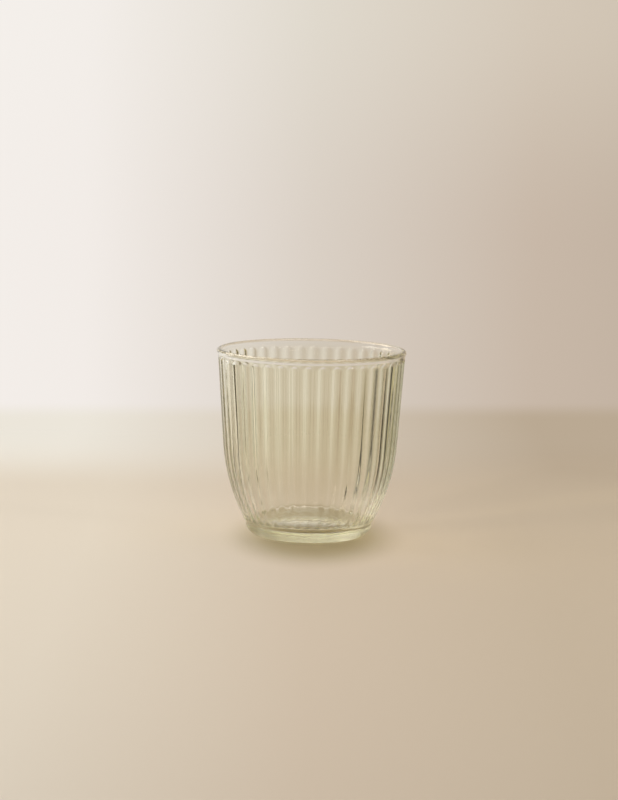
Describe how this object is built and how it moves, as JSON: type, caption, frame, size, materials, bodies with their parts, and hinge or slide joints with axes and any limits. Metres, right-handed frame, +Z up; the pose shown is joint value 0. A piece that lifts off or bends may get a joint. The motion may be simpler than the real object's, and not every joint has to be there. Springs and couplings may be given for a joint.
{
  "type": "drinking glass",
  "caption": "Pressed-glass tumbler with a rounded rim, vertical flutes down a tapered and bellied wall, and a plain rounded foot under a small step; holds a drink.",
  "frame": {"origin": "middle of the resting face under the foot, at table height", "axes": "+Z up along the glass's axis to the rim, -Y to the front, +X to the right seen from the front"},
  "size_m": [0.087, 0.087, 0.086],
  "materials": {
    "pressed_glass": "clear pale green pressed glass, fire-polished at the rim"
  },
  "bodies": {
    "root": {"rim": "pressed_glass", "fluted_wall": "pressed_glass", "foot": "pressed_glass"}
  },
  "joints": []
}
